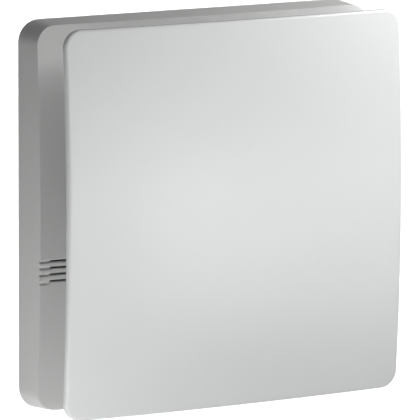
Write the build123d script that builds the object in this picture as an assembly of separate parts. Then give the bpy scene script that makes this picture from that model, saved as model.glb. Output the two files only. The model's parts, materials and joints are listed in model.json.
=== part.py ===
from build123d import *
import math
import os

# Square access point with a floating front cover, in millimetres.
# Every piece is laid out on its back, as on a bench: x to the right, y up the wall and
# z out of the wall, with z = 0 on the wall. stand_up() turns it at the end, so that in
# the part's frame +Z is up the wall and -Y is out of it.

# Front cover
cover_width = 200.0
cover_corner = 9.3
cover_crest = 55.9  # the front of the cover at its centre
cover_rise = 4.1  # how far the cover bows out from the middle of an edge to its centre
cover_rim = 3.2
cover_skin = 2.4
cover_lip = 3.0
cover_rim_round = 1.4
cover_back_round = 0.4

# Rear shell
wall_clearance = 0.4
shell_overhang = 0.7  # how far the shell's back edge stands out past the cover
shell_corner = 11.6
shell_crest = 23.8
shell_rise = 3.1
shell_wall = 2.2
shell_draft = 4.0
shell_rim_round = 1.5
shell_rib_share = 0.5  # how far into the wall its bosses and land reach

# Tower that stands out through the shell, holds the antennas and carries the cover
tower_width = 118.0
tower_corner = 12.0
tower_edge_round = 2.0
tower_wall = 2.2
tower_clearance = 0.1
tower_flange = 5.0
tower_flange_thickness = 1.6
tower_board_clearance = 0.8
tower_land_width = 6.0
deck_gap = 6.2  # from the tower's deck to the cover's crest, on the inside

# Vents
vent_rows = 4
vent_pitch = 3.42
vent_top = -21.3
vent_slot_height = 0.95
vent_edge_margin = 7.8  # from the shell's back edge to the start of a slot
vent_tower_margin = 8.0
vent_groove_depth = 1.2
vent_groove_half = 1.35
vent_notch_depth = 2.3
vent_last_drop = 0.95  # the lowest notch in the rim sits this much lower
vent_pad = 1.0

# Base plate and the bay for the connectors
base_seat = 3.0  # the base plate's back
base_thickness = 2.0
base_clearance = 0.3
bay_width = 80.0
bay_height = 48.0
bay_top = -22.0
bay_floor = 15.0
bay_wall = 2.0
bay_corner = 3.0
port_clearance = 0.3
shell_screw_margin = 12.0
boss_radius = 3.5

# Wall bracket
bracket_width = 150.0
bracket_thickness = 1.5
bracket_corner = 8.0
bracket_hole_spacing = 120.0
bracket_hole_radius = 2.25
cable_opening_width = 72.0
cable_opening_height = 52.0
cable_opening_corner = 6.0
cable_opening_raise = 4.0  # how far it reaches above the bay
hook_width = 12.0
hook_margin = 9.0
hook_rest = 35.0
hook_lift = 8.0
hook_spare = 2.0  # how much further than the hook's leg the unit lifts
hook_side_clearance = 1.0
hook_face_clearance = 0.3
spring_offset = 28.0
spring_place = 57.0
spring_width = 8.0
spring_sheet = 0.4
spring_foot = 5.0
spring_arm = 12.0
spring_tip = 7.0
spring_bow = 0.8
spring_tip_lift = 0.2
rivet_head_radius = 2.4
rivet_head_depth = 0.6
rivet_clearance = 0.02

# Main board
board_seat = 15.2
board_thickness = 1.6
board_margin = 23.0
board_top_margin = 24.0
board_corner = 3.0
board_bottom_clearance = 0.5
pillar_inset = 6.0
pillar_radius = 3.2
chip_height = 1.5
memory_height = 1.0
can_height = 2.4
can_sheet = 0.3
can_corner = 0.8
pad_thickness = 1.0
pad_margin = 1.0  # how much smaller a pad is than what it lies on
transformer_size = (16.0, 6.5, 6.0)
transformer_gap = 0.95  # from the Ethernet socket to its transformer
core_size = (15.0, 17.0, 9.5)
core_place = (-40.0, -5.0)
core_window = 4.0
core_window_height = 9.0
inductor_size = (12.0, 12.0, 7.0)
inductor_corner = 2.5
inductor_place = (42.0, 2.0)
capacitor_radius = 4.0
capacitor_round = 0.6
capacitor_gap = 0.6  # from the base plate
capacitor_places = [(-50.0, 10.0), (-50.0, 19.0)]

# Screws
screw_radius = 1.45
screw_head_radius = 2.8
screw_head_depth = 1.4
screw_slot_length = 3.6
screw_slot_width = 0.8
screw_slot_depth = 0.8
screw_clearance = 0.05
loose_clearance = 0.25
shell_screw_bite = 6.0
board_screw_bite = 6.2
carrier_screw_bite = 5.0
shell_hole_spare = 2.0  # how much deeper than its screw a hole in the shell is
carrier_hole_spare = 1.0

# Ethernet socket
jack_x = -14.0
jack_width = 16.0
jack_length = 21.0
jack_height = 11.8
socket_width = 11.8
socket_height = 8.2
socket_depth = 13.5
latch_width = 6.2
latch_height = 1.8
contact_count = 8
contact_pitch = 1.02
contact_width = 0.5
contact_sheet = 0.35
contact_spring = 0.8  # how far a contact stands off the socket's roof
contact_setback = 3.0
contact_ramp = 5.0

# Power socket
power_x = 14.0
power_width = 9.0
power_length = 14.2
power_height = 11.0
power_bore = 3.15
power_depth = 9.5
power_pin_radius = 1.05
power_pin_setback = 1.0

# Reset button
reset_x = 30.0
reset_radius = 1.5
reset_clearance = 0.3
reset_travel = 0.5
reset_reach = 2.0  # how far it stands into the bay
reset_bite = 1.0  # how far its other end stands into the switch
reset_tip_round = 0.5
reset_axis_height = 2.5  # from the board to the button's axis
switch_setback = 2.0
switch_width = 6.2
switch_length = 4.0
switch_height = 5.0

# Antennas and what carries them
carrier_thickness = 2.0
carrier_drop = 8.0  # from the underside of the deck to the carrier
carrier_clearance = 3.0
carrier_screw_inset = 5.0
carrier_window_share = 0.3
carrier_window_corner = 6.0
reflector_thickness = 1.0
reflector_inset = 2.0
antenna_width = 30.0
antenna_height = 22.0
antenna_rise = 5.0
antenna_sheet = 0.6
antenna_foot = 6.0
antenna_peg_gap = 0.4  # from a grommet's flange to an antenna
antenna_slot_share = 0.6
antenna_slot_width = 1.5
antenna_slot_place = (4.0, 5.0)
cable_radius = 0.65
cable_bend = 7.0
cable_bend_share = 0.95  # of the room on a run, where that is too short for the full bend
plug_distance = 24.0  # from an antenna's foot to its plug
plug_margin = 8.0
plug_side = 4.0
plug_height = 2.6

# Cover pegs
peg_inset = 15.0
peg_radius = 2.5
peg_reach = 6.0
peg_clearance = 0.1
peg_tip_round = 0.8
peg_boss_radius = 4.5
grommet_wall = 1.5
grommet_flange = 1.6
grommet_flange_depth = 1.4
grommet_clearance = 0.02
rib_thickness = 1.6
rib_clearance = 2.0


def crown_radius(width, rise):
    # The sphere that rises by that much over half the width.
    return ((width / 2) ** 2 + rise**2) / (2 * rise)


# Sizes that follow from the ones above
shell_back_width = cover_width + 2 * shell_overhang
cover_radius = crown_radius(cover_width, cover_rise)
shell_radius = crown_radius(shell_back_width, shell_rise)
cover_inside = cover_crest - cover_rim
deck_front = cover_inside - deck_gap
deck_back = deck_front - tower_wall
base_front = base_seat + base_thickness
base_slope = math.tan(math.radians(shell_draft)) * (base_front - wall_clearance)
inner_half = shell_back_width / 2 - shell_wall - base_slope
base_width = 2 * (inner_half - base_clearance)
shell_screw_place = inner_half - shell_screw_margin
hook_x = bracket_width / 2 - hook_margin
hook_leg_back = base_front + hook_face_clearance
hook_leg_front = hook_leg_back + bracket_thickness
unit_lift = hook_lift + hook_spare
board_half = inner_half - board_margin
board_top = inner_half - board_top_margin
board_bottom = bay_top + bay_wall + board_bottom_clearance
board_front = board_seat + board_thickness
port_mouth = bay_top - board_bottom_clearance
tower_half = tower_width / 2
tower_foot = board_front + tower_board_clearance
tower_land = tower_foot + tower_flange_thickness
vent_start = shell_back_width / 2 - vent_edge_margin
vent_end = tower_half + vent_tower_margin
carrier_front = deck_back - carrier_drop
carrier_back = carrier_front - carrier_thickness
reflector_back = carrier_back - reflector_thickness
carrier_width = tower_width - 2 * (tower_wall + carrier_clearance)
carrier_screw_place = carrier_width / 2 - carrier_screw_inset
peg_place = tower_half - peg_inset
grommet_hole = peg_radius + peg_clearance + grommet_wall
grommet_reach = grommet_hole + grommet_flange
antenna_place = peg_place - grommet_reach - antenna_peg_gap - antenna_height / 2
socket_roof = board_seat - (jack_height - socket_height) / 2
reset_height = board_seat - reset_axis_height

spreader_size = (68.0, 46.0)
spreader_corner = 3.0
spreader_centre = (0.0, 31.0)
spreader_base = 4.0
processor_place = (0.0, 38.0)
processor_size = 17.0
can_places = {"left": (-21.0, 21.0), "right": (21.0, 21.0)}
can_size = 20.0
memory_places = [(-13.0, 62.0), (13.0, 62.0)]
memory_size = (13.0, 8.0)
spreader_screw_places = [(-30.0, 48.0), (30.0, 48.0)]
corners = [(-1, -1), (1, -1), (1, 1), (-1, 1)]
middles = [(0, -1), (1, 0), (0, 1), (-1, 0)]


def slab(width, height, low, high, corner=0.0, x=0.0, y=0.0):
    # A block between two distances from the wall, with its upright corners rounded.
    outline = RectangleRounded(width, height, corner) if corner else Rectangle(width, height)
    return extrude(Pos(x, y, low) * outline, high - low)


def box_between(low, high):
    # A plain block from its low corner to its high corner.
    size = [top - bottom for bottom, top in zip(low, high)]
    middle = [(top + bottom) / 2 for bottom, top in zip(low, high)]
    return Pos(*middle) * Box(*size)


def rod(radius, start, end, x=0.0, y=0.0):
    # A round bar that stands out of the wall.
    return Pos(x, y, (start + end) / 2) * Cylinder(radius, abs(end - start))


def bar_up(radius, start, end, x, z):
    # A round bar that runs up the wall.
    return Pos(x, (start + end) / 2, z) * Rot(90, 0, 0) * Cylinder(radius, abs(end - start))


def ball(radius, crest):
    # The sphere whose nearest point to the room is at crest. Its poles and seam face away.
    return Pos(0, 0, crest - radius) * Rot(0, 90, 0) * Sphere(radius)


def strip(points, width, x):
    # A bent strip: its side view in (y, z), and its width along x.
    side = make_face(Polyline(*points, close=True))
    return extrude(Plane.YZ.offset(x - width / 2) * side, width)


def screw(x, y, seat, tip):
    # A cross-head screw whose head bears on seat and whose shank ends at tip.
    way = math.copysign(1, tip - seat)
    crown = seat - way * screw_head_depth
    shank = rod(screw_radius, seat, tip, x, y)
    head = rod(screw_head_radius, crown, seat, x, y)
    slot = Box(screw_slot_length, screw_slot_width, 2 * screw_slot_depth)
    return shank + head - [Pos(x, y, crown) * Rot(0, 0, turn) * slot for turn in (0, 90)]


def shell_form(inset):
    # The drafted, domed outside of the rear shell, or its hollow when inset by the wall.
    width = shell_back_width - 2 * inset
    outline = RectangleRounded(width, width, shell_corner - inset)
    sides = extrude(Pos(0, 0, wall_clearance) * outline, shell_crest, taper=shell_draft)
    return sides & ball(shell_radius - inset, shell_crest - inset)


def tower_form(inset):
    width = tower_width - 2 * inset
    return slab(width, width, tower_foot, deck_front - inset, tower_corner - inset)


def shell_surface(x, y):
    # How far the shell's domed face stands from the wall at a place.
    below = shell_radius - math.sqrt(shell_radius**2 - x**2 - y**2)
    return shell_crest - below


def groove(y, x_start, depth_start, x_end, depth_end):
    # A V-shaped channel along the face, from one distance left of centre to another.
    start = Vector(-x_start, y, shell_surface(x_start, y) - depth_start)
    end = Vector(-x_end, y, shell_surface(x_end, y) - depth_end)
    run = end - start
    half, top = vent_groove_half, 3 * vent_notch_depth
    points = [(0, 0), (half, vent_groove_depth), (half, top), (-half, top), (-half, vent_groove_depth)]
    side = make_face(Polyline(*points, close=True))
    return extrude(Plane(origin=start, x_dir=(0, 1, 0), z_dir=run) * side, run.length)


def vent_cuts():
    # Four through slots on the left, each in a groove that opens through the rim.
    cuts = []
    outside = shell_back_width / 2 + 1
    for row in range(vent_rows):
        y = vent_top - row * vent_pitch
        drop = vent_last_drop if row == vent_rows - 1 else 0.0
        cuts.append(groove(y - drop, outside, vent_notch_depth, vent_start, vent_groove_depth))
        cuts.append(groove(y, vent_start, vent_groove_depth, vent_end, vent_groove_depth))
        half = vent_slot_height / 2
        cuts.append(box_between((-vent_start, y - half, base_front), (-vent_end, y + half, shell_crest)))
    return cuts


def rear_shell():
    outside = shell_form(0)
    dome = outside.faces().filter_by(GeomType.SPHERE)[0]
    shell = fillet(dome.outer_wire().edges(), shell_rim_round) - shell_form(shell_wall)

    # The opening for the tower, with a flat land round it for the tower's flange
    land_width = tower_width + 2 * tower_land_width
    land = slab(land_width, land_width, tower_land, shell_crest, tower_corner + tower_land_width)
    inside = shell_form(shell_wall * shell_rib_share)
    shell += land & inside
    opening = tower_width + 2 * tower_clearance
    shell -= slab(opening, opening, base_front, shell_crest + 1, tower_corner + tower_clearance)

    # Room for the flange, where a thicker wall would reach it
    room = tower_width + 2 * (tower_flange + tower_clearance)
    shell -= slab(room, room, base_front, tower_land, tower_corner + tower_flange + tower_clearance)

    # Bosses that take the base plate's screws
    for across, up in corners + middles:
        x, y = across * shell_screw_place, up * shell_screw_place
        shell += rod(boss_radius, base_front, shell_crest, x, y) & inside
        hole = base_front + shell_screw_bite + shell_hole_spare
        shell -= rod(screw_radius + screw_clearance, base_front, hole, x, y)

    # Room under the dome for the heads of the board's screws
    head_top = board_front + screw_head_depth + loose_clearance
    for x, y in pillar_places():
        shell -= rod(screw_head_radius + loose_clearance, base_front, head_top, x, y)

    # Thicker wall behind the vents, then the vents, left and right
    pad_length = vent_start - vent_end + 2 * shell_wall
    pad_height = (vent_rows + 1) * vent_pitch
    pad_y = vent_top - (vent_rows - 1) / 2 * vent_pitch
    for side in (-1, 1):
        x = side * (vent_start + vent_end) / 2
        pad = slab(pad_length, pad_height, base_front, shell_crest, x=x, y=pad_y)
        shell += (pad & inside) - shell_form(shell_wall + vent_pad)
    for cut in vent_cuts():
        shell -= cut
        shell -= mirror(cut, Plane.YZ)
    return shell


def antenna_tower():
    # A square cap that stands out through the shell's opening and bears on its land.
    walls = tower_form(0)
    walls = fillet(walls.faces().sort_by(Axis.Z)[-1].edges(), tower_edge_round)
    flange_width = tower_width + 2 * tower_flange
    walls += slab(flange_width, flange_width, tower_foot, tower_land, tower_corner + tower_flange)
    tower = walls - tower_form(tower_wall)

    # Bosses under the deck that hold the antenna carrier
    for across, up in middles:
        x, y = across * carrier_screw_place, up * carrier_screw_place
        tower += rod(boss_radius, carrier_front, deck_back + tower_wall / 2, x, y)
        hole = carrier_front + carrier_screw_bite + carrier_hole_spare
        tower -= rod(screw_radius + screw_clearance, carrier_front, hole, x, y)

    # Holes through the deck for the cover's grommets
    for across, up in corners:
        tower -= rod(grommet_hole, deck_back - 1, deck_front + 1, across * peg_place, up * peg_place)
    return tower


def port_cut(x, width, length, height):
    # The way through the base plate and the bay's upper wall for a socket.
    half = width / 2 + port_clearance
    low = (x - half, bay_top - 1, 0)
    high = (x + half, port_mouth + length + port_clearance, board_seat + port_clearance)
    return box_between(low, high)


def base_plate():
    bay_y = bay_top - bay_height / 2
    plate = slab(base_width, base_width, base_seat, base_front, shell_corner - shell_wall)
    outer_width = bay_width + 2 * bay_wall
    outer_height = bay_height + 2 * bay_wall
    plate += slab(outer_width, outer_height, base_seat, bay_floor + bay_wall, bay_corner + bay_wall, y=bay_y)
    plate -= slab(bay_width, bay_height, base_seat - 1, bay_floor, bay_corner, y=bay_y)

    # Ports for the sockets and the reset button
    plate -= port_cut(jack_x, jack_width, jack_length, jack_height)
    plate -= port_cut(power_x, power_width, power_length, power_height)
    low = bay_top - reset_reach - reset_clearance
    high = bay_top + bay_wall + 1
    plate -= bar_up(reset_radius + reset_clearance, low, high, reset_x, reset_height)

    # Slots that the bracket's hooks pass through
    slot_width = hook_width + 2 * hook_side_clearance
    slot_height = unit_lift + bracket_thickness + hook_side_clearance
    for side in (-1, 1):
        for rest in (hook_rest, -hook_rest):
            y = rest - slot_height / 2
            plate -= slab(slot_width, slot_height, base_seat - 1, base_front + 1, x=side * hook_x, y=y)

    # Pillars for the board
    for x, y in pillar_places():
        plate += rod(pillar_radius, base_seat + 1, board_seat, x, y)
        plate -= rod(screw_radius + screw_clearance, base_front, board_seat, x, y)

    # Holes for the shell's screws and the heat spreader's
    for across, up in corners + middles:
        x, y = across * shell_screw_place, up * shell_screw_place
        plate -= rod(screw_radius + loose_clearance, 0, base_front + 1, x, y)
    for x, y in spreader_screw_places:
        plate -= rod(screw_radius + screw_clearance, 0, base_front + 1, x, y)
    return plate


def pillar_places():
    low, high = board_bottom + pillar_inset, board_top - pillar_inset
    across = board_half - pillar_inset
    return [(-across, low), (across, low), (across, high), (-across, high)]


def shell_screws():
    places = [(across * shell_screw_place, up * shell_screw_place) for across, up in corners + middles]
    return [screw(x, y, base_seat, base_front + shell_screw_bite) for x, y in places]


def main_board():
    height = board_top - board_bottom
    middle = (board_top + board_bottom) / 2
    board = slab(2 * board_half, height, board_seat, board_front, board_corner, y=middle)
    for x, y in pillar_places():
        board -= rod(screw_radius + loose_clearance, board_seat - 1, board_front + 1, x, y)
    return board


def board_screws():
    return [screw(x, y, board_front, board_seat - board_screw_bite) for x, y in pillar_places()]


def heat_spreader():
    x, y = spreader_centre
    top = base_front + spreader_base
    block = slab(*spreader_size, base_front, top, spreader_corner, x, y)
    gap = board_seat - pad_thickness
    px, py = processor_place
    block += slab(processor_size, processor_size, base_front, gap - chip_height, 1, px, py)
    for cx, cy in can_places.values():
        side = can_size - 2 * pad_margin
        block += slab(side, side, base_front, gap - can_height, 1, cx, cy)
    for sx, sy in spreader_screw_places:
        block -= rod(screw_radius + loose_clearance, 0, top + 1, sx, sy)
    return block


def spreader_screws():
    top = base_front + spreader_base
    return [screw(x, y, top, base_seat) for x, y in spreader_screw_places]


def thermal_pads():
    # One on the processor and one on each shield can, squeezed by the heat spreader.
    covered = [(processor_place, processor_size, chip_height)]
    covered += [(place, can_size - 2 * pad_margin, can_height) for place in can_places.values()]
    pads = []
    for (x, y), width, height in covered:
        side = width - pad_margin
        back = board_seat - height
        pads.append(slab(side, side, back - pad_thickness, back, x=x, y=y))
    return pads


def processor():
    x, y = processor_place
    return slab(processor_size, processor_size, board_seat - chip_height, board_seat, x=x, y=y)


def memory_chips():
    back = board_seat - memory_height
    return [slab(*memory_size, back, board_seat, x=x, y=y) for x, y in memory_places]


def shield_can(side):
    # A folded tin lid, hollow towards the board.
    x, y = can_places[side]
    back = board_seat - can_height
    can = slab(can_size, can_size, back, board_seat, can_corner, x, y)
    inner = can_size - 2 * can_sheet
    return can - slab(inner, inner, back + can_sheet, board_seat + 1, can_corner - can_sheet, x, y)


def ethernet_jack():
    back = board_seat - jack_height
    half = jack_width / 2
    far = port_mouth + jack_length
    body = box_between((jack_x - half, port_mouth, back), (jack_x + half, far, board_seat))
    floor = socket_roof - socket_height
    half = socket_width / 2
    low = (jack_x - half, port_mouth - 1, floor)
    body -= box_between(low, (jack_x + half, port_mouth + socket_depth, socket_roof))
    half = latch_width / 2
    low = (jack_x - half, port_mouth - 1, floor - latch_height)
    return body - box_between(low, (jack_x + half, port_mouth + socket_depth, floor))


def ethernet_contacts():
    # Sprung gold wires along the socket's roof.
    wires = []
    start, end = port_mouth + contact_setback, port_mouth + socket_depth
    thin = socket_roof - contact_sheet
    sprung = (start + contact_ramp, socket_roof - contact_spring)
    points = [(start, socket_roof), (start, thin), sprung, (end, thin), (end, socket_roof)]
    for number in range(contact_count):
        x = jack_x + (number - (contact_count - 1) / 2) * contact_pitch
        wires.append(strip(points, contact_width, x))
    return wires


def power_jack():
    back = board_seat - power_height
    half = power_width / 2
    far = port_mouth + power_length
    body = box_between((power_x - half, port_mouth, back), (power_x + half, far, board_seat))
    middle = board_seat - power_height / 2
    return body - bar_up(power_bore, port_mouth - 1, port_mouth + power_depth, power_x, middle)


def power_jack_pin():
    middle = board_seat - power_height / 2
    start, end = port_mouth + power_pin_setback, port_mouth + power_depth
    pin = bar_up(power_pin_radius, start, end, power_x, middle)
    tip = pin.edges().filter_by(GeomType.CIRCLE).sort_by(Axis.Y)[0]
    return fillet(tip, power_pin_radius * 0.7)


def reset_switch():
    start = board_bottom + switch_setback
    half = switch_width / 2
    low = (reset_x - half, start, board_seat - switch_height)
    body = box_between(low, (reset_x + half, start + switch_length, board_seat))
    bore = reset_radius + screw_clearance
    end = start + reset_bite + 2 * reset_travel
    return body - bar_up(bore, start - 1, end, reset_x, reset_height)


def reset_button():
    start = board_bottom + switch_setback
    button = bar_up(reset_radius, bay_top - reset_reach, start + reset_bite, reset_x, reset_height)
    tip = button.edges().filter_by(GeomType.CIRCLE).sort_by(Axis.Y)[0]
    return fillet(tip, reset_tip_round)


def ethernet_transformer():
    width, height, depth = transformer_size
    y = port_mouth + jack_length + transformer_gap + height / 2
    return slab(width, height, board_seat - depth, board_seat, 0.6, x=jack_x, y=y)


def power_transformer():
    # Two ferrite halves round a bobbin.
    x, y = core_place
    width, height, depth = core_size
    back = board_seat - depth
    core = slab(width, height, back, board_seat, 1, x, y)
    for side in (-1, 1):
        edge = x + side * width / 2
        core -= slab(core_window, core_window_height, back - 1, board_seat - 2, x=edge, y=y)
    return core


def power_inductor():
    width, height, depth = inductor_size
    x, y = inductor_place
    return slab(width, height, board_seat - depth, board_seat, inductor_corner, x, y)


def bulk_capacitors():
    cans = []
    for x, y in capacitor_places:
        can = rod(capacitor_radius, base_front + capacitor_gap, board_seat, x, y)
        cans.append(fillet(can.edges().sort_by(Axis.Z)[0], capacitor_round))
    return cans


def coax_places():
    # For each antenna, where its plug stands on the board and where its cable rises.
    foot = antenna_place - antenna_width / 2 + antenna_foot / 2
    places = {}
    for name, across, up in (
        ("upper_left", -1, 1),
        ("upper_right", 1, 1),
        ("lower_left", -1, 0),
        ("lower_right", 1, 0),
    ):
        y = antenna_place if up else -antenna_place
        plug_y = y if up else board_bottom + plug_margin
        places[name] = ((across * (foot + plug_distance), plug_y), (across * foot, y))
    return places


def coax_plugs():
    top = board_front + plug_height
    return [slab(plug_side, plug_side, board_front, top, 0.5, *plug) for plug, foot in coax_places().values()]


def coax_cable(name):
    # Leaves its plug level with the board, then rises through the carrier to its antenna.
    (plug_x, plug_y), (foot_x, foot_y) = coax_places()[name]
    level = board_front + plug_height / 2
    side = math.copysign(plug_side / 2, foot_x - plug_x)
    start = (plug_x + side, plug_y, level)
    points = [start]
    if abs(plug_y - foot_y) > 1:
        points.append((foot_x, plug_y, level))
    points += [(foot_x, foot_y, level), (foot_x, foot_y, carrier_front)]
    # A bend is as wide as its two runs allow, and a run between two bends is shared by both.
    runs = [math.dist(first, second) for first, second in zip(points, points[1:])]
    rooms = [run if run in (runs[0], runs[-1]) else run / 2 for run in runs]
    bends = [min(cable_bend, cable_bend_share * min(pair)) for pair in zip(rooms, rooms[1:])]
    path = FilletPolyline(*points, radius=bends)
    along = Vector(*points[1]) - Vector(*points[0])
    return sweep(Plane(origin=start, z_dir=along) * Circle(cable_radius), path=path)


def antenna_carrier():
    plate = slab(carrier_width, carrier_width, carrier_back, carrier_front, tower_corner - tower_wall)
    window = carrier_width * carrier_window_share
    lighten = slab(window, window, carrier_back, carrier_front, carrier_window_corner)
    return plate - lighten - carrier_holes(carrier_back, carrier_front)


def antenna_reflector():
    width = carrier_width - 2 * reflector_inset
    plate = slab(width, width, reflector_back, carrier_back, tower_corner - 2 * reflector_inset)
    return plate - carrier_holes(reflector_back, carrier_back)


def carrier_holes(low, high):
    holes = []
    for across, up in middles:
        x, y = across * carrier_screw_place, up * carrier_screw_place
        holes.append(rod(screw_radius + loose_clearance, low - 1, high + 1, x, y))
    for plug, foot in coax_places().values():
        holes.append(rod(cable_radius + loose_clearance, low - 1, high + 1, *foot))
    return holes


def carrier_screws():
    places = [(across * carrier_screw_place, up * carrier_screw_place) for across, up in middles]
    return [screw(x, y, reflector_back, carrier_front + carrier_screw_bite) for x, y in places]


def antenna(name):
    # A stamped plate on a bent leg, with a slot that tunes its upper band.
    (plug_x, plug_y), (foot_x, foot_y) = coax_places()[name]
    side = math.copysign(1, foot_x)
    x = side * antenna_place
    low = carrier_front + antenna_rise
    plate = slab(antenna_width, antenna_height, low, low + antenna_sheet, 1, x, foot_y)
    across, up = antenna_slot_place
    slot_length = antenna_width * antenna_slot_share
    plate -= slab(slot_length, antenna_slot_width, low - 1, low + 2, x=x + side * across, y=foot_y + up)
    foot = slab(antenna_foot, antenna_foot, carrier_front, carrier_front + antenna_sheet, 0.5, foot_x, foot_y)
    leg_x = foot_x - side * (antenna_foot - antenna_sheet) / 2
    leg = slab(antenna_sheet, antenna_foot, carrier_front, low + antenna_sheet, x=leg_x, y=foot_y)
    return plate + foot + leg


def cover_grommets():
    # Rubber sleeves in the deck, with a flange behind it.
    inner = peg_radius + peg_clearance
    rings = []
    for across, up in corners:
        x, y = across * peg_place, up * peg_place
        ring = rod(grommet_hole - grommet_clearance, deck_back, deck_front, x, y)
        ring += rod(grommet_reach, deck_back - grommet_flange_depth, deck_back, x, y)
        rings.append(ring - rod(inner, deck_back - 5, deck_front + 1, x, y))
    return rings


def front_cover():
    outline = extrude(RectangleRounded(cover_width, cover_width, cover_corner), cover_crest + 1)
    plate = outline & ball(cover_radius + cover_rim, cover_crest)
    plate -= ball(cover_radius, cover_inside)
    rims = plate.faces().filter_by(GeomType.SPHERE).sort_by(Axis.Z)
    plate = fillet(rims[-1].outer_wire().edges(), cover_rim_round)
    rims = plate.faces().filter_by(GeomType.SPHERE).sort_by(Axis.Z)
    plate = fillet(rims[0].outer_wire().edges(), cover_back_round)

    # The skin is thinner inside the lip
    inner = cover_width - 2 * cover_lip
    hollow = extrude(RectangleRounded(inner, inner, cover_corner - cover_lip), cover_crest)
    recess = cover_rim - cover_skin
    plate -= hollow & ball(cover_radius + recess, cover_inside + recess)

    # Bosses and pegs, joined by a square of ribs
    within = ball(cover_radius + cover_rim / 2, cover_inside + cover_rim / 2)
    for across, up in corners:
        x, y = across * peg_place, up * peg_place
        plate += rod(peg_boss_radius, deck_front, cover_crest, x, y) & within
        peg = rod(peg_radius, deck_back - peg_reach, deck_front + 1, x, y)
        plate += fillet(peg.edges().sort_by(Axis.Z)[0], peg_tip_round)
    low = deck_front + rib_clearance
    length = 2 * peg_place
    for side in (-1, 1):
        rib = slab(length, rib_thickness, low, cover_crest, y=side * peg_place)
        rib += slab(rib_thickness, length, low, cover_crest, x=side * peg_place)
        plate += rib & within
    return plate


def wall_bracket():
    plate = slab(bracket_width, bracket_width, 0, bracket_thickness, bracket_corner)
    past = bracket_thickness + 1
    y = bay_top + cable_opening_raise - cable_opening_height / 2
    plate -= slab(cable_opening_width, cable_opening_height, -1, past, cable_opening_corner, y=y)
    hole_place = bracket_hole_spacing / 2
    for across, up in corners:
        plate -= rod(bracket_hole_radius, -1, past, across * hole_place, up * hole_place)
    for x, y in rivet_places():
        plate -= rod(screw_radius, -1, past, x, y)

    # Hooks: a foot out of the plate and a leg that points up
    for side in (-1, 1):
        for rest in (hook_rest, -hook_rest):
            root = rest - bracket_thickness
            points = [(root, 0), (rest, 0), (rest, hook_leg_back), (rest + hook_lift, hook_leg_back)]
            points += [(rest + hook_lift, hook_leg_front), (root, hook_leg_front)]
            plate += strip(points, hook_width, side * hook_x)
    return plate


def rivet_places():
    return [(side * spring_offset, spring_place) for side in (-1, 1)]


def bracket_springs():
    # Leaf springs that press on the base plate and take up its play.
    seat = bracket_thickness
    bend = spring_place - spring_foot
    crest = bend - spring_arm
    back = [(spring_place + spring_foot, seat), (bend, seat), (crest, seat + spring_bow)]
    back.append((crest - spring_tip, seat + spring_tip_lift))
    front = [(y, z + spring_sheet) for y, z in reversed(back)]
    springs = []
    for x, y in rivet_places():
        leaf = strip(back + front, spring_width, x)
        springs.append(leaf - rod(screw_radius, 0, seat + 1, x, y))
    return springs


def spring_rivets():
    seat = bracket_thickness + spring_sheet
    rivets = []
    for x, y in rivet_places():
        shank = rod(screw_radius - rivet_clearance, 0, seat, x, y)
        rivets.append(shank + rod(rivet_head_radius, seat, seat + rivet_head_depth, x, y))
    return rivets


def stand_up(shape):
    # From lying on its back to standing against the wall.
    solids = shape if isinstance(shape, list) else [shape]
    turned = [Rot(90, 0, 0) * solid for solid in solids]
    return turned[0] if len(turned) == 1 else Compound(children=turned)


parts = {
    "wall_bracket": wall_bracket(),
    "bracket_springs": bracket_springs(),
    "spring_rivets": spring_rivets(),
    "rear_shell": rear_shell(),
    "antenna_tower": antenna_tower(),
    "base_plate": base_plate(),
    "shell_screws": shell_screws(),
    "main_board": main_board(),
    "board_screws": board_screws(),
    "heat_spreader": heat_spreader(),
    "spreader_screws": spreader_screws(),
    "thermal_pads": thermal_pads(),
    "processor": processor(),
    "memory_chips": memory_chips(),
    "ethernet_jack": ethernet_jack(),
    "ethernet_contacts": ethernet_contacts(),
    "power_jack": power_jack(),
    "power_jack_pin": power_jack_pin(),
    "reset_switch": reset_switch(),
    "reset_button": reset_button(),
    "ethernet_transformer": ethernet_transformer(),
    "power_transformer": power_transformer(),
    "power_inductor": power_inductor(),
    "bulk_capacitors": bulk_capacitors(),
    "coax_plugs": coax_plugs(),
    "antenna_carrier": antenna_carrier(),
    "antenna_reflector": antenna_reflector(),
    "carrier_screws": carrier_screws(),
    "cover_grommets": cover_grommets(),
    "front_cover": front_cover(),
}
for side in can_places:
    parts[f"shield_can_{side}"] = shield_can(side)
for name in coax_places():
    parts[f"coax_cable_{name}"] = coax_cable(name)
    parts[f"antenna_{name}"] = antenna(name)

os.makedirs("parts", exist_ok=True)
for name, shape in parts.items():
    export_step(stand_up(shape), f"parts/{name}.step")
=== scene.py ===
import bpy
import bmesh
import json
import math
from mathutils import Matrix, Quaternion, Vector


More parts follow.
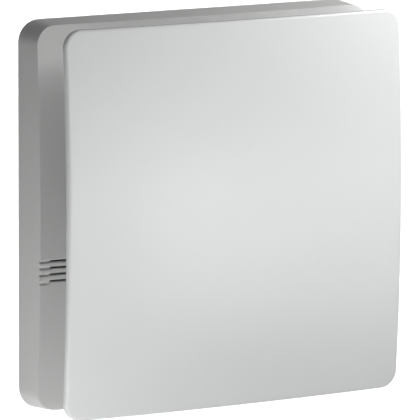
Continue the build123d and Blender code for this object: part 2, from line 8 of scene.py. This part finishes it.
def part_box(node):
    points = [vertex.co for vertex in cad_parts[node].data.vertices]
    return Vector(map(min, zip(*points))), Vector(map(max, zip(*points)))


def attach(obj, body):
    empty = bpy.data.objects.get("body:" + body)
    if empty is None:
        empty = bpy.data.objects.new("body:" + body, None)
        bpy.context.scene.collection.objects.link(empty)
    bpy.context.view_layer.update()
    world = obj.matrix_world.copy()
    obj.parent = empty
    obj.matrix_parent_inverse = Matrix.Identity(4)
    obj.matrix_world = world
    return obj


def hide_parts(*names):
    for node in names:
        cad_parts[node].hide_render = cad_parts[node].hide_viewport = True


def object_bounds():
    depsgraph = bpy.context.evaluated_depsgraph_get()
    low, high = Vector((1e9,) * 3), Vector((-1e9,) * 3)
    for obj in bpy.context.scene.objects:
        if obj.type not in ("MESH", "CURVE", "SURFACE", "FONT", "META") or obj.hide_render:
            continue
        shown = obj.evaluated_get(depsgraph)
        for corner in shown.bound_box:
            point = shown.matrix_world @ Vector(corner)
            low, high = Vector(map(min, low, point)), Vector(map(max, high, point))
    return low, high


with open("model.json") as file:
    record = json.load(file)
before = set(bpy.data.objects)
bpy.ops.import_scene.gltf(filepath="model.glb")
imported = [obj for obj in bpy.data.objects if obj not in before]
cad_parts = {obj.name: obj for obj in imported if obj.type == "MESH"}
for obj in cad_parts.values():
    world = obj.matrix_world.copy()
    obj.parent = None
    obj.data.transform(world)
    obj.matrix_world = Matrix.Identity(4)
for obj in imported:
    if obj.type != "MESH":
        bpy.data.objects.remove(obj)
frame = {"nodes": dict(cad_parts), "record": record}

# The unit hangs on a wall: +Z is up the wall, -Y is out of it, and the wall is y = 0.
# New pieces are built on the bench in millimetres, lying on their back: x to the right,
# y up the wall and z out of it. finishPiece() stands them up.

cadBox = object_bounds()
nodes = frame["nodes"]
record = frame["record"]
mm = 0.001
near = 0.01             # millimetres: heights that differ by less count as one
weld = 0.003            # millimetres: points closer than this are joined
onCut = 0.0005          # millimetres: points closer to a cut than this lie on it

camera = {
    "azimuth": 31.063,      # degrees to the left of straight in front
    "elevation": 8.854,
    "roll": 0.178,
    "distance": 2.877,
    "lens": 471.8,
    "target": (0.0140, 0.0, -0.0060),
    "clip": (0.1, 60.0),
}


def direction(azimuth, elevation):
    # out from the unit towards a camera or a lamp; azimuth 0 is straight in front, and grows to the left
    a, e = math.radians(azimuth), math.radians(elevation)
    return Vector((-math.sin(a) * math.cos(e), -math.cos(a) * math.cos(e), math.sin(e)))


def place(thing, spot, towards, turn=0.0):
    # looks towards a point, turned about its own line of sight by some degrees
    look = (Vector(towards) - Vector(spot)).to_track_quat("-Z", "Y")
    thing.location = spot
    thing.rotation_mode = "QUATERNION"
    thing.rotation_quaternion = look @ Quaternion((0, 0, 1), math.radians(turn))
    bpy.context.scene.collection.objects.link(thing)


def addCamera():
    data = bpy.data.cameras.new("camera")
    data.lens = camera["lens"]
    data.clip_start, data.clip_end = camera["clip"]
    thing = bpy.data.objects.new("camera", data)
    target = Vector(camera["target"])
    spot = target + direction(camera["azimuth"], camera["elevation"]) * camera["distance"]
    place(thing, spot, target, camera["roll"])
    bpy.context.scene.camera = thing


studio = {
    "world": 0.02,
    "floorDrop": 0.45,      # from the unit down to the floor
    "floorSize": 22.0,
    "floorColour": (0.92, 0.92, 0.92, 1),
    "floorRoughness": 0.9,
    # four sheets of light over the floor round the unit: distance, height, size and spread,
    # and the watts of the ones in front, to the left, behind and to the right
    "wash": (4.8, 1.6, 6.4, 80.0),
    "washWatts": (36.0, 36.0, 225.0, 36.0),
    # soft square lamps: azimuth, elevation, distance, size, watts
    "lamps": {
        "keyInner": (-15.0, -10.0, 1.2, 0.27, 0.29),
        "keyCentre": (-21.0, -4.0, 1.2, 0.27, 0.64),
        "keyLow": (-28.0, -10.0, 1.2, 0.27, 1.02),
        "keyTop": (-28.0, 3.0, 1.2, 0.27, 0.16),
        "keyOuter": (-35.0, -3.0, 1.2, 0.27, 0.20),
        "keyOuterLow": (-41.0, -10.0, 1.2, 0.27, 0.78),
        "sideFill": (60.0, -30.0, 0.40, 0.16, 0.52),
        "frontTop": (0.0, 45.0, 0.90, 0.30, 1.58),
        "rightTop": (-60.0, 40.0, 0.36, 0.144, 0.60),
        "rightHigh": (-30.0, 60.0, 0.60, 0.25, 0.11),
        "backFill": (185.0, 6.0, 1.2, 0.50, 3.0),
    },
}


def addLamp(name, spot, towards, size, watts, spread=180.0):
    data = bpy.data.lights.new(name, "AREA")
    data.shape = "SQUARE"
    data.size = size
    data.energy = watts
    data.spread = math.radians(spread)
    place(bpy.data.objects.new(name, data), spot, towards)


def addLight(floorZ):
    scene = bpy.context.scene
    scene.view_settings.view_transform = "Standard"
    world = bpy.data.worlds.new("softRoom")
    world.use_nodes = True
    world.node_tree.nodes["Background"].inputs["Strength"].default_value = studio["world"]
    world.node_tree.nodes["Background"].inputs["Color"].default_value = (1, 1, 1, 1)
    scene.world = world
    for name, (azimuth, elevation, distance, size, watts) in studio["lamps"].items():
        addLamp(name, direction(azimuth, elevation) * distance, (0, 0, 0), size, watts)
    away, up, size, spread = studio["wash"]
    for quarter, watts in enumerate(studio["washWatts"]):
        spot = direction(camera["azimuth"] + 90 * quarter, 0) * away
        below = spot + Vector((0, 0, floorZ))
        addLamp(f"floorWash{quarter}", spot + Vector((0, 0, up)), below, size, watts, spread)


def addFloor(floorZ):
    bm = bmesh.new()
    bmesh.ops.create_grid(bm, x_segments=1, y_segments=1, size=studio["floorSize"] / 2)
    bmesh.ops.translate(bm, verts=bm.verts, vec=(0, 0, floorZ))
    mesh = bpy.data.meshes.new("floor")
    bm.to_mesh(mesh)
    bm.free()
    floor = bpy.data.objects.new("floor", mesh)
    bpy.context.scene.collection.objects.link(floor)
    floorPaint = bpy.data.materials.new("floorPaint")
    floorPaint.use_nodes = True
    shader = floorPaint.node_tree.nodes["Principled BSDF"]
    shader.inputs["Base Color"].default_value = studio["floorColour"]
    shader.inputs["Roughness"].default_value = studio["floorRoughness"]
    floor.data.materials.append(floorPaint)


def addNode(tree, kind, **settings):
    node = tree.nodes.new(kind)
    for key, value in settings.items():
        setattr(node, key, value)
    return node


def noise(tree, source, scale, detail=2.0, stretch=(1, 1, 1)):
    # a cloudy pattern with about `scale` blobs to the metre
    mapping = addNode(tree, "ShaderNodeMapping")
    mapping.inputs["Scale"].default_value = stretch
    tree.links.new(source, mapping.inputs["Vector"])
    texture = addNode(tree, "ShaderNodeTexNoise")
    texture.inputs["Scale"].default_value = scale
    texture.inputs["Detail"].default_value = detail
    tree.links.new(mapping.outputs["Vector"], texture.inputs["Vector"])
    return texture.outputs["Fac"]


def spread(tree, value, low, high, fromLow=0.3, fromHigh=0.7):
    # stretches a pattern's range to low..high; a noise lies mostly between 0.3 and 0.7
    ranger = addNode(tree, "ShaderNodeMapRange")
    ranger.inputs["From Min"].default_value = fromLow
    ranger.inputs["From Max"].default_value = fromHigh
    ranger.inputs["To Min"].default_value = low
    ranger.inputs["To Max"].default_value = high
    tree.links.new(value, ranger.inputs["Value"])
    return ranger.outputs["Result"]


def times(tree, a, b):
    maths = addNode(tree, "ShaderNodeMath", operation="MULTIPLY")
    tree.links.new(a, maths.inputs[0])
    tree.links.new(b, maths.inputs[1])
    return maths.outputs[0]


def blendColour(tree, share, first, second):
    # the share is a number or a node's output, and each colour a tuple or a node's output
    mix = addNode(tree, "ShaderNodeMix", data_type="RGBA")
    for socket, value in ((mix.inputs[0], share), (mix.inputs[6], first), (mix.inputs[7], second)):
        if isinstance(value, float):
            socket.default_value = value
        elif isinstance(value, tuple):
            socket.default_value = (*value, 1)
        else:
            tree.links.new(value, socket)
    return mix.outputs[2]


finish = {
    "grainShare": 0.4,          # how much of the colour follows the grain, not the clouds
    "patchScale": 2.3,          # patches of roughness to each cloud
    "wearScale": 900.0,         # blobs to the metre, where wear comes and goes
    "turn": (0.86, 0.99),       # how much a surface turns where wear is full, and where it starts
    "wearWidth": 0.0006,
    "bumpDepth": 0.00005,
    "ior": 1.46,
    "coatRoughness": 0.2,
}


def wornEdges(tree, source, radius, amount):
    # where the surface turns sharply, broken up so that the wear comes and goes
    bevel = addNode(tree, "ShaderNodeBevel", samples=4)
    bevel.inputs["Radius"].default_value = radius
    shape = addNode(tree, "ShaderNodeNewGeometry")
    dot = addNode(tree, "ShaderNodeVectorMath", operation="DOT_PRODUCT")
    tree.links.new(bevel.outputs["Normal"], dot.inputs[0])
    tree.links.new(shape.outputs["Normal"], dot.inputs[1])
    edge = spread(tree, dot.outputs["Value"], amount, 0.0, *finish["turn"])
    return times(tree, edge, spread(tree, noise(tree, source, finish["wearScale"], detail=3.0), 0.2, 1.0))


def tinted(colour, factor):
    return tuple(min(1.0, channel * factor) for channel in colour)


def makePaint(name, look):
    # look: colour, vary (how far its shades differ), clouds and grain (blobs to the metre),
    # roughness and roughVary, bump, wear and its colour, and stretch for a brushed grain
    material = bpy.data.materials.new(name)
    material.use_nodes = True
    tree = material.node_tree
    shader = tree.nodes["Principled BSDF"]
    shader.inputs["Metallic"].default_value = look["metal"]
    shader.inputs["IOR"].default_value = finish["ior"]
    shader.inputs["Coat Weight"].default_value = look.get("coat", 0.0)
    shader.inputs["Coat Roughness"].default_value = finish["coatRoughness"]
    source = addNode(tree, "ShaderNodeTexCoord").outputs["Object"]

    dark = tinted(look["colour"], 1 - look["vary"])
    light = tinted(look["colour"], 1 + look["vary"])
    clouds = noise(tree, source, look["clouds"], detail=4.0)
    grain = noise(tree, source, look["grain"], stretch=look.get("stretch", (1, 1, 1)))
    shades = blendColour(tree, spread(tree, clouds, 0.0, 1.0), dark, light)
    specks = blendColour(tree, spread(tree, grain, 0.0, 1.0), dark, light)
    colour = blendColour(tree, finish["grainShare"], shades, specks)
    wear = wornEdges(tree, source, look.get("wearWidth", finish["wearWidth"]), look["wear"])
    worn = blendColour(tree, wear, colour, look["wearColour"])
    tree.links.new(worn, shader.inputs["Base Color"])

    rough, roughVary = look["roughness"], look["roughVary"]
    patches = noise(tree, source, look["clouds"] * finish["patchScale"], detail=3.0)
    tree.links.new(spread(tree, patches, rough - roughVary, rough + roughVary), shader.inputs["Roughness"])

    bump = addNode(tree, "ShaderNodeBump")
    bump.inputs["Strength"].default_value = look["bump"]
    bump.inputs["Distance"].default_value = look.get("bumpDepth", finish["bumpDepth"])
    tree.links.new(grain, bump.inputs["Height"])
    tree.links.new(bump.outputs["Normal"], shader.inputs["Normal"])
    return material


def plastic(colour, roughness, **more):
    look = {
        "colour": colour, "vary": 0.012, "clouds": 14.0, "grain": 2600.0, "metal": 0.0,
        "roughness": roughness, "roughVary": 0.02, "bump": 0.10,
        "wear": 0.35, "wearColour": tinted(colour, 1.06),
    }
    look.update(more)
    return look


def metalLook(colour, roughness, **more):
    look = {
        "colour": colour, "vary": 0.06, "clouds": 60.0, "grain": 1800.0, "metal": 1.0,
        "roughness": roughness, "roughVary": 0.06, "bump": 0.25,
        "wear": 0.6, "wearColour": tinted(colour, 1.3),
    }
    look.update(more)
    return look


looks = {
    "shell_plastic": plastic((0.70, 0.705, 0.695), 0.40, wearWidth=0.0009),
    "cover_plastic": plastic((0.80, 0.81, 0.81), 0.21, wearWidth=0.0009),
    "cast_plate": metalLook((0.56, 0.57, 0.58), 0.5, grain=1400.0, bump=0.5, bumpDepth=0.0001),
    "bracket_steel": metalLook((0.60, 0.61, 0.62), 0.33, stretch=(1, 1, 12)),
    "spring_steel": metalLook((0.42, 0.43, 0.46), 0.28, stretch=(10, 1, 1)),
    "fastener_steel": metalLook((0.62, 0.62, 0.64), 0.3, wearWidth=0.0003),
    "board_green": plastic((0.012, 0.085, 0.035), 0.3, vary=0.15, coat=0.4, wearColour=(0.45, 0.4, 0.2)),
    "heat_metal": metalLook((0.68, 0.69, 0.70), 0.36, stretch=(14, 1, 1)),
    "pad_silicone": plastic((0.30, 0.36, 0.45), 0.75, vary=0.05, bump=0.3),
    "chip_black": plastic((0.022, 0.022, 0.025), 0.5, vary=0.12, wearColour=(0.1, 0.1, 0.1)),
    "can_tin": metalLook((0.62, 0.62, 0.58), 0.25, clouds=200.0),
    "jack_black": plastic((0.02, 0.02, 0.021), 0.45, vary=0.1, wearColour=(0.09, 0.09, 0.09)),
    "contact_gold": metalLook((0.83, 0.60, 0.22), 0.22, wearWidth=0.0002),
    "button_white": plastic((0.72, 0.72, 0.69), 0.4, wearWidth=0.0003),
    "ferrite": plastic((0.045, 0.044, 0.048), 0.62, vary=0.2, bump=0.4, wearColour=(0.14, 0.13, 0.13)),
    "capacitor_can": metalLook((0.10, 0.13, 0.22), 0.3, metal=0.4),
    "carrier_plastic": plastic((0.035, 0.035, 0.038), 0.5, vary=0.1, wearColour=(0.1, 0.1, 0.1)),
    "antenna_tin": metalLook((0.70, 0.67, 0.58), 0.27, stretch=(1, 1, 8)),
    "cable_jacket": plastic((0.02, 0.02, 0.022), 0.4, vary=0.1, wearColour=(0.07, 0.07, 0.07)),
    "grommet_rubber": plastic((0.03, 0.03, 0.03), 0.8, vary=0.1, bump=0.3, wearColour=(0.08, 0.08, 0.08)),
}


def paintNodes(paints):
    for part in record["subparts"]:
        mesh = nodes[part["node"]].data
        mesh.materials.clear()
        mesh.materials.append(paints[part["material_slot"]])


def finishPiece(bm, name, paint, body, replaced, smoothAngle=32):
    # stands the bench model up, and makes it a piece that rides on its body
    bmesh.ops.remove_doubles(bm, verts=bm.verts, dist=weld)
    bmesh.ops.recalc_face_normals(bm, faces=bm.faces)
    bmesh.ops.rotate(bm, verts=bm.verts, cent=(0, 0, 0), matrix=Matrix.Rotation(math.radians(90), 3, "X"))
    bmesh.ops.scale(bm, verts=bm.verts, vec=(mm, mm, mm))
    for face in bm.faces:
        face.smooth = True
    for edge in bm.edges:
        edge.smooth = len(edge.link_faces) == 2 and edge.calc_face_angle() < math.radians(smoothAngle)
    mesh = bpy.data.meshes.new(name)
    bm.to_mesh(mesh)
    bm.free()
    mesh.materials.append(paint)
    piece = bpy.data.objects.new(name, mesh)
    bpy.context.scene.collection.objects.link(piece)
    piece.modifiers.new("flatFacesStayFlat", "WEIGHTED_NORMAL").keep_sharp = True
    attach(piece, body)
    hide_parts(*replaced)


def roundedFace(bm, half, corner, height, steps=12):
    # one flat face that looks out of the wall: a square with its corners rounded
    before = set(bm.faces)
    made = bmesh.ops.create_grid(bm, x_segments=1, y_segments=1, size=half)["verts"]
    bmesh.ops.translate(bm, verts=made, vec=(0, 0, height))
    bmesh.ops.bevel(
        bm, geom=made, offset=corner, offset_type="OFFSET", segments=steps,
        profile=0.5, affect="VERTICES", material=-1,
    )
    return [face for face in bm.faces if face not in before][0]


def inset(bm, face, thickness, depth=0.0):
    # the face shrinks by a thickness and moves out by a depth, with new faces round it
    bmesh.ops.inset_region(
        bm, faces=[face], thickness=thickness, depth=depth, use_boundary=True, use_even_offset=True,
    )


def raiseFace(bm, face, rise, keep=False):
    # pulls the face out of the wall by that much, and returns the new one
    pulled = bmesh.ops.extrude_face_region(bm, geom=[face], use_keep_orig=keep)["geom"]
    top = [item for item in pulled if isinstance(item, bmesh.types.BMFace)][0]
    bmesh.ops.translate(bm, verts=top.verts[:], vec=(0, 0, rise))
    if not keep and face.is_valid:
        bmesh.ops.delete(bm, geom=[face], context="FACES_ONLY")
    return top


def cutAt(bm, spot, normal, faces=None):
    # one straight cut through the whole model, or through some of its faces
    if faces is None:
        faces = bm.faces[:]
    edges = list({edge for face in faces for edge in face.edges})
    verts = list({vert for face in faces for vert in face.verts})
    bmesh.ops.bisect_plane(bm, geom=verts + edges + faces, plane_co=spot, plane_no=normal, dist=onCut)


def cutStrips(bm, half, spacing):
    # cuts everything into strips both ways, so that large faces can bend
    count = math.ceil(half / spacing)
    for step in range(-count + 1, count):
        along = step * half / count
        cutAt(bm, (along, 0, 0), (1, 0, 0))
        cutAt(bm, (0, along, 0), (0, 1, 0))


def bevelEdges(bm, edges, width, segments):
    bmesh.ops.bevel(
        bm, geom=[edge for edge in edges if edge.is_valid], offset=width, offset_type="OFFSET",
        segments=segments, profile=0.5, affect="EDGES", material=-1, clamp_overlap=True, loop_slide=True,
    )


def crownRadius(width, rise):
    # the sphere that rises by that much over half the width
    return ((width / 2) ** 2 + rise ** 2) / (2 * rise)


def domeHeight(x, y, radius, crest):
    return crest - radius + math.sqrt(radius ** 2 - x ** 2 - y ** 2)


def addRod(bm, radius, low, high, x, y, tipRound=0.0, sides=32):
    # a round bar that stands out of the wall, with its low end rounded over
    made = bmesh.ops.create_cone(
        bm, cap_ends=True, segments=sides, radius1=radius, radius2=radius, depth=high - low,
    )["verts"]
    bmesh.ops.translate(bm, verts=made, vec=(x, y, (low + high) / 2))
    if tipRound:
        tip = [vert for vert in made if vert.co.z < low + near]
        rim = list({edge for vert in tip for edge in vert.link_edges if edge.other_vert(vert) in tip})
        bevelEdges(bm, rim, tipRound, segments=4)


def addRib(bm, low, high, lengths, topAt):
    # a block in several lengths; whatever its height, its top follows topAt(x, y)
    rib = bmesh.new()
    made = bmesh.ops.create_cube(rib, size=1.0)["verts"]
    size = [b - a for a, b in zip(low, high)]
    middle = [(a + b) / 2 for a, b in zip(low, high)]
    bmesh.ops.scale(rib, verts=made, vec=size)
    bmesh.ops.translate(rib, verts=made, vec=middle)
    axis = 0 if size[0] > size[1] else 1
    for cut in range(1, lengths):
        spot = [0, 0, 0]
        spot[axis] = low[axis] + size[axis] * cut / lengths
        cutAt(rib, spot, (1, 0, 0) if axis == 0 else (0, 1, 0))
    for vert in rib.verts:
        if vert.co.z > middle[2]:
            vert.co.z = topAt(vert.co.x, vert.co.y)
    mesh = bpy.data.meshes.new("rib")
    rib.to_mesh(mesh)
    rib.free()
    bm.from_mesh(mesh)
    bpy.data.meshes.remove(mesh)


coverShape = {
    "corner": 9.3,
    "rise": 4.1,            # how far it bows out from the middle of an edge to its centre
    "rim": 3.2,
    "skin": 2.4,
    "lip": 3.0,
    "frontRound": 1.4,
    "backRound": 0.4,
    "support": 0.3,         # flat band that keeps the shading of a rounded edge to itself
    "patch": 8.0,
    "grommetReach": 5.7,    # from a peg's axis to the edge of its grommet
    "pegRadius": 2.5,
    "pegRound": 0.8,
    "pegRoot": 1.0,         # how far a peg runs into its boss
    "bossRadius": 4.5,
    "ribThickness": 1.6,
    "ribClearance": 2.0,    # over the tower's deck
    "ribLengths": 12,
    "sink": 0.8,            # how far bosses and ribs run into the skin
}


def addCoverFixings(bm, look, pegTip, sphere):
    # bosses, pegs and a square of ribs behind the skin
    def top(x, y):
        return domeHeight(x, y, *sphere) + look["sink"]

    deck = -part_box("antenna_tower")[0].y / mm
    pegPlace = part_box("cover_grommets")[1].x / mm - look["grommetReach"]
    for across in (-1, 1):
        for up in (-1, 1):
            x, y = across * pegPlace, up * pegPlace
            addRod(bm, look["bossRadius"], deck, top(x, y), x, y)
            addRod(bm, look["pegRadius"], pegTip, deck + look["pegRoot"], x, y, look["pegRound"])
    base = deck + look["ribClearance"]
    half = look["ribThickness"] / 2
    for side in (-pegPlace, pegPlace):
        addRib(bm, (-pegPlace, side - half, base), (pegPlace, side + half, base + 1), look["ribLengths"], top)
        addRib(bm, (side - half, -pegPlace, base), (side + half, pegPlace, base + 1), look["ribLengths"], top)


def levels(item):
    # which of the flat cover's levels a face or an edge touches
    return {round(vert.co.z) for vert in item.verts}


def frontCover(paints):
    look = coverShape
    low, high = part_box("front_cover")
    half = high.x / mm
    crest = -low.y / mm
    inside = crest - look["rim"]
    radius = crownRadius(2 * half, look["rise"])
    recess = look["rim"] - look["skin"]

    # flat first: the back at level 0, the back of the skin at level 1 and the front at level 2
    bm = bmesh.new()
    back = roundedFace(bm, half, look["corner"], 0.0)
    front = raiseFace(bm, back, 2, keep=True)
    inset(bm, front, look["frontRound"] + look["support"])
    inset(bm, back, look["backRound"] + look["support"])
    inset(bm, back, look["lip"] - look["backRound"] - look["support"])
    raiseFace(bm, back, 1)
    cutStrips(bm, half, look["patch"])
    wallEdges = [edge for face in bm.faces if levels(face) == {0, 2} for edge in face.edges]
    backRim = [edge for edge in wallEdges if levels(edge) == {0}]
    frontRim = [edge for edge in wallEdges if levels(edge) == {2}]

    # then domed, each level on its own sphere
    spheres = [(radius, inside), (radius + recess, inside + recess), (radius + look["rim"], crest)]
    for vert in bm.verts:
        vert.co.z = domeHeight(vert.co.x, vert.co.y, *spheres[round(vert.co.z)])
    bevelEdges(bm, frontRim, look["frontRound"], segments=6)
    bevelEdges(bm, backRim, look["backRound"], segments=2)
    addCoverFixings(bm, look, -high.y / mm, spheres[1])
    finishPiece(bm, "cover_moulding", paints["cover_plastic"], "cover", ["front_cover"])


ventShape = {
    "rows": 4,
    "pitch": 3.42,
    "top": -21.3,
    "slotHalf": 0.55,
    "grooveHalf": 0.95,
    "grooveDepth": 0.5,
    "notchDepth": 1.6,      # how deep a groove is where it leaves through the rim
    "lastDrop": 0.95,       # the lowest notch sits this much lower
    "edgeMargin": 6.9,      # from the shell's back edge to the start of a slot
    "towerMargin": 8.0,
    "lip": 0.08,            # width of the steep sides
    "margin": 3.0,          # the skin round the vents that is cut with them
    "reach": 2.0,           # how far behind the dome a groove bends the skin
    "overrun": 1.0,         # how far a groove is worked out beyond the shell's side
}


def ventEnds(half, towerHalf):
    # how far from the centre line the slots start, and where they end near the tower
    return half - ventShape["edgeMargin"], towerHalf + ventShape["towerMargin"]


def ventRows():
    return [ventShape["top"] - row * ventShape["pitch"] for row in range(ventShape["rows"])]


def ventGrooves(half, towerHalf):
    # each groove: its middle, and its depth at two distances from the centre line
    look = ventShape
    start, end = ventEnds(half, towerHalf)
    rows = ventRows()
    grooves = []
    for y in rows:
        notchY = y - look["lastDrop"] if y == rows[-1] else y
        grooves.append((y, (end, look["grooveDepth"]), (start, look["grooveDepth"])))
        grooves.append((notchY, (start, look["grooveDepth"]), (half + look["overrun"], look["notchDepth"])))
    return grooves


def scoreVents(bm, start, end, grooves):
    # cuts the skin along the edges of the slots and the grooves, on both sides
    look = ventShape
    highest = look["top"] + 2 * look["pitch"]
    lowest = look["top"] - (look["rows"] + 1) * look["pitch"]
    lines = [look["slotHalf"], look["grooveHalf"], look["grooveHalf"] + look["lip"]]
    lines = sorted([0.0] + lines + [-line for line in lines])

    def band(side):
        chosen = []
        for face in bm.faces:
            spot = face.calc_center_median()
            if side * spot.x > end - look["margin"] and lowest < spot.y < highest:
                chosen.append(face)
        return chosen

    for side in (-1, 1):
        for x in (start, end, end + look["lip"]):
            cutAt(bm, (side * x, 0, 0), (1, 0, 0), band(side))
        for y in sorted({groove[0] for groove in grooves}):
            for line in lines:
                cutAt(bm, (0, y + line, 0), (0, 1, 0), band(side))


def openSlots(bm, start, end):
    # right through the wall, with the cut edges joined from front to back
    for y in ventRows():
        for side in (-1, 1):
            gone = []
            for face in bm.faces:
                spot = face.calc_center_median()
                if end < side * spot.x < start and abs(spot.y - y) < ventShape["slotHalf"]:
                    gone.append(face)
            bmesh.ops.delete(bm, geom=gone, context="FACES")
            bmesh.ops.bridge_loops(bm, edges=[edge for edge in bm.edges if edge.is_boundary])


def pressGrooves(bm, end, grooves, sphere):
    # V grooves: everything above a groove's sides comes down to them
    look = ventShape
    slope = look["grooveDepth"] / look["grooveHalf"]
    for vert in bm.verts:
        away = abs(vert.co.x)
        if away < end + look["lip"] / 2:
            continue
        if vert.co.z < domeHeight(vert.co.x, vert.co.y, *sphere) - look["reach"]:
            continue
        for y, (inner, innerDepth), (outer, outerDepth) in grooves:
            off = abs(vert.co.y - y)
            if off > look["grooveHalf"] + near or not inner - near <= away <= outer:
                continue
            depth = innerDepth + (outerDepth - innerDepth) * (away - inner) / (outer - inner)
            bottom = domeHeight(away, y, *sphere) - depth + off * slope
            vert.co.z = min(vert.co.z, bottom)


shellShape = {
    "corner": 11.6,
    "rise": 3.1,
    "wall": 2.2,
    "draft": 4.0,           # degrees that the side walls lean in
    "rimRound": 1.5,
    "openingRound": 0.25,
    "patch": 9.0,
    "flange": 5.0,          # how far the tower's flange stands out from its walls
    "gap": 0.1,             # round the tower
    "towerCorner": 12.0,
    "openingBand": 6.0,     # edges that near the tower belong to the opening, not to the rim
    "sharp": 1.0,           # radians: an edge that turns by more is a rim
    "smoothAngle": 25,
}


def shellSkin(look, half, back, opening, sphere):
    # the outside, with no thickness yet: leaning walls, and a domed front with an opening
    crest = sphere[1]
    rimInset = math.tan(math.radians(look["draft"])) * (crest - back)
    bm = bmesh.new()
    front = roundedFace(bm, half, look["corner"], back)
    inset(bm, front, rimInset, crest - back)
    rim = list(front.edges)
    hole = roundedFace(bm, opening, look["towerCorner"] + look["gap"], crest)
    holeRim = list(hole.edges)
    bmesh.ops.delete(bm, geom=[front, hole], context="FACES_ONLY")
    bmesh.ops.triangle_fill(bm, edges=rim + holeRim, use_beauty=True)
    cutStrips(bm, half, look["patch"])
    for vert in bm.verts:
        if vert.co.z < crest - near:
            continue
        feet = [edge.other_vert(vert) for edge in vert.link_edges if edge.other_vert(vert).co.z < back + near]
        if feet:
            foot, lean = feet[0].co.copy(), vert.co - feet[0].co
            for _ in range(3):      # slides along the leaning wall until it meets the dome
                share = (domeHeight(vert.co.x, vert.co.y, *sphere) - foot.z) / lean.z
                vert.co = foot + lean * share
        else:
            vert.co.z = domeHeight(vert.co.x, vert.co.y, *sphere)
    return bm


def thicken(bm, wall, back):
    # gives the skin its thickness, with its back edge flat
    bmesh.ops.recalc_face_normals(bm, faces=bm.faces)
    bm.normal_update()
    bmesh.ops.solidify(bm, geom=bm.faces[:], thickness=wall)
    for vert in bm.verts:
        if vert.co.z < back + wall / 2:
            vert.co.z = back
    bm.normal_update()


def roundRims(bm, look, towerHalf, sphere):
    outerRim, openingRim = [], []
    for edge in bm.edges:
        onDome = all(abs(v.co.z - domeHeight(v.co.x, v.co.y, *sphere)) < 2 * near for v in edge.verts)
        if onDome and edge.calc_face_angle() > look["sharp"]:
            far = max(abs(value) for value in edge.verts[0].co.xy) > towerHalf + look["openingBand"]
            (outerRim if far else openingRim).append(edge)
    bevelEdges(bm, outerRim, look["rimRound"], segments=6)
    bevelEdges(bm, openingRim, look["openingRound"], segments=2)


def rearShell(paints):
    look = shellShape
    low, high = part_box("rear_shell")
    half, back = high.x / mm, -high.y / mm
    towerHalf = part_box("antenna_tower")[1].x / mm - look["flange"]
    opening = towerHalf + look["gap"]
    radius = crownRadius(2 * half, look["rise"])
    crest = -low.y / mm - domeHeight(opening, 0, radius, 0)     # the box ends at the opening's edge
    sphere = (radius, crest)
    bm = shellSkin(look, half, back, opening, sphere)
    thicken(bm, look["wall"], back)
    roundRims(bm, look, towerHalf, sphere)

    start, end = ventEnds(half, towerHalf)
    grooves = ventGrooves(half, towerHalf)
    scoreVents(bm, start, end, grooves)
    openSlots(bm, start, end)
    pressGrooves(bm, end, grooves, sphere)
    paint = paints["shell_plastic"]
    finishPiece(bm, "shell_moulding", paint, "unit", ["rear_shell"], look["smoothAngle"])


print("camera and studio")
floorHeight = cadBox[0][2] - studio["floorDrop"]
addCamera()
addLight(floorHeight)
addFloor(floorHeight)
print("finishes")
paints = {name: makePaint(name, look) for name, look in looks.items()}
paintNodes(paints)
print("front cover")
frontCover(paints)
print("rear shell")
rearShell(paints)
